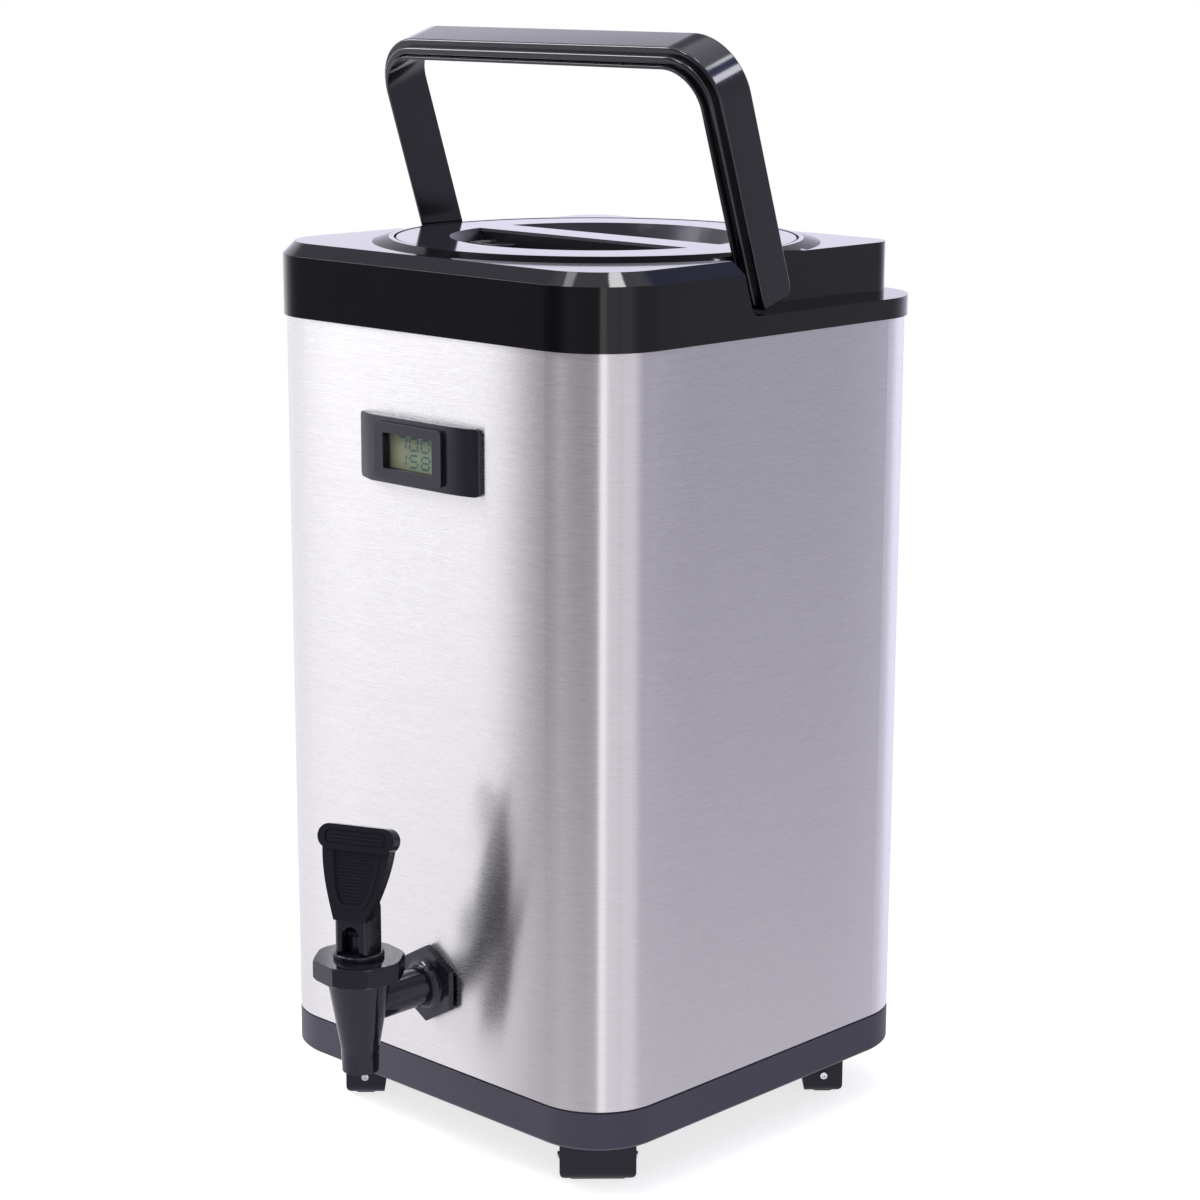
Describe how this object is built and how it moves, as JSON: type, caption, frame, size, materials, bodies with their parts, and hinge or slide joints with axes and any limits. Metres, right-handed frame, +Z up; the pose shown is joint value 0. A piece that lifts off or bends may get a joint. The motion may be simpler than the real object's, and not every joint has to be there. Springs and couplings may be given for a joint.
{
  "type": "insulated beverage dispenser",
  "caption": "Square steel-clad insulated drink dispenser with fold-away bail handle, lift-out vented lid, front thermometer and a spring-closed lever tap.",
  "frame": {"origin": "on the counter, under the centre of the square body", "axes": "+Z up, -Y towards the tap and thermometer, +X to the right seen from the front"},
  "size_m": [0.233, 0.298, 0.5275],
  "materials": {
    "brushed_steel": "satin",
    "vessel_steel": "satin",
    "foam": "matte",
    "collar_plastic": "gloss",
    "handle_plastic": "gloss",
    "lid_plastic": "gloss",
    "tap_plastic": "gloss",
    "base_plastic": "satin",
    "foot_plastic": "matte",
    "gauge_plastic": "satin",
    "pad_rubber": "matte",
    "gasket_rubber": "matte",
    "seal_silicone": "satin",
    "screw_steel": "polished",
    "valve_plastic": "satin",
    "lcd": "satin",
    "clear_lens": "polished",
    "board": "satin"
  },
  "bodies": {
    "vessel": {"outer_shell": "brushed_steel", "inner_liner": "vessel_steel", "foam_base": "foam", "foam_jacket": "foam", "foam_crown": "foam", "top_collar": "collar_plastic", "mouth_seal": "seal_silicone", "handle_pins": "screw_steel", "base_tray": "base_plastic", "base_screws": "screw_steel", "foot_front_left": "foot_plastic", "foot_front_right": "foot_plastic", "foot_back_left": "foot_plastic", "foot_back_right": "foot_plastic", "foot_pads": "pad_rubber", "foot_bolts": "screw_steel", "tap_body": "tap_plastic", "tap_shank": "tap_plastic", "tap_outer_gasket": "gasket_rubber", "tap_inner_gasket": "gasket_rubber", "tap_lock_nut": "valve_plastic", "tap_bonnet": "tap_plastic", "tap_spring": "screw_steel", "thermometer_housing": "gauge_plastic", "thermometer_bezel": "gauge_plastic", "lcd_panel": "lcd", "lcd_window": "clear_lens", "circuit_board": "board", "battery_cell": "screw_steel", "temperature_probe": "screw_steel"},
    "handle": {"handle_bail": "handle_plastic", "handle_cover": "handle_plastic"},
    "lid": {"lid_top": "lid_plastic", "lid_plug": "lid_plastic", "lid_insulation": "foam", "lid_seal": "seal_silicone", "vent_tube": "valve_plastic", "vent_pin": "screw_steel"},
    "vent": {"vent_lever": "lid_plastic", "vent_stopper": "seal_silicone"},
    "swivel": {"lever_ring": "tap_plastic"},
    "valve": {"valve_stem": "tap_plastic", "seat_cup": "seal_silicone"},
    "lever": {"tap_lever": "tap_plastic", "lever_pin": "screw_steel"}
  },
  "joints": [
    {"name": "handle_fold", "type": "hinge", "parent": "vessel", "child": "handle", "pos_m": [0, 0.003, 0.4148], "axis": [1, 0, 0], "range_deg": [-108, 0]},
    {"name": "lid_lift", "type": "slide", "parent": "vessel", "child": "lid", "axis": [0, 0, 1], "range_m": [0, 0.055]},
    {"name": "vent_flip", "type": "hinge", "parent": "lid", "child": "vent", "pos_m": [-0.055, -0.023, 0.4236], "axis": [0, -1, 0], "range_deg": [0, 70]},
    {"name": "lever_swivel", "type": "hinge", "parent": "vessel", "child": "swivel", "pos_m": [0.004, -0.1605, 0.1093], "axis": [0, 0, 1], "continuous": true},
    {"name": "valve_lift", "type": "slide", "parent": "swivel", "child": "valve", "axis": [0, 0, 1], "range_m": [0, 0.0054], "deforming": ["tap_spring"]},
    {"name": "lever_tilt", "type": "hinge", "parent": "valve", "child": "lever", "pos_m": [0.004, -0.1605, 0.12], "axis": [0.9135, 0.4067, 0], "range_deg": [0, 35], "stiffness_Nm_per_rad": 0.15, "springref_deg": -14.32}
  ],
  "couplings": [
    {"joint": "valve_lift", "follows": "lever_tilt", "m_per_rad": 0.0085}
  ]
}
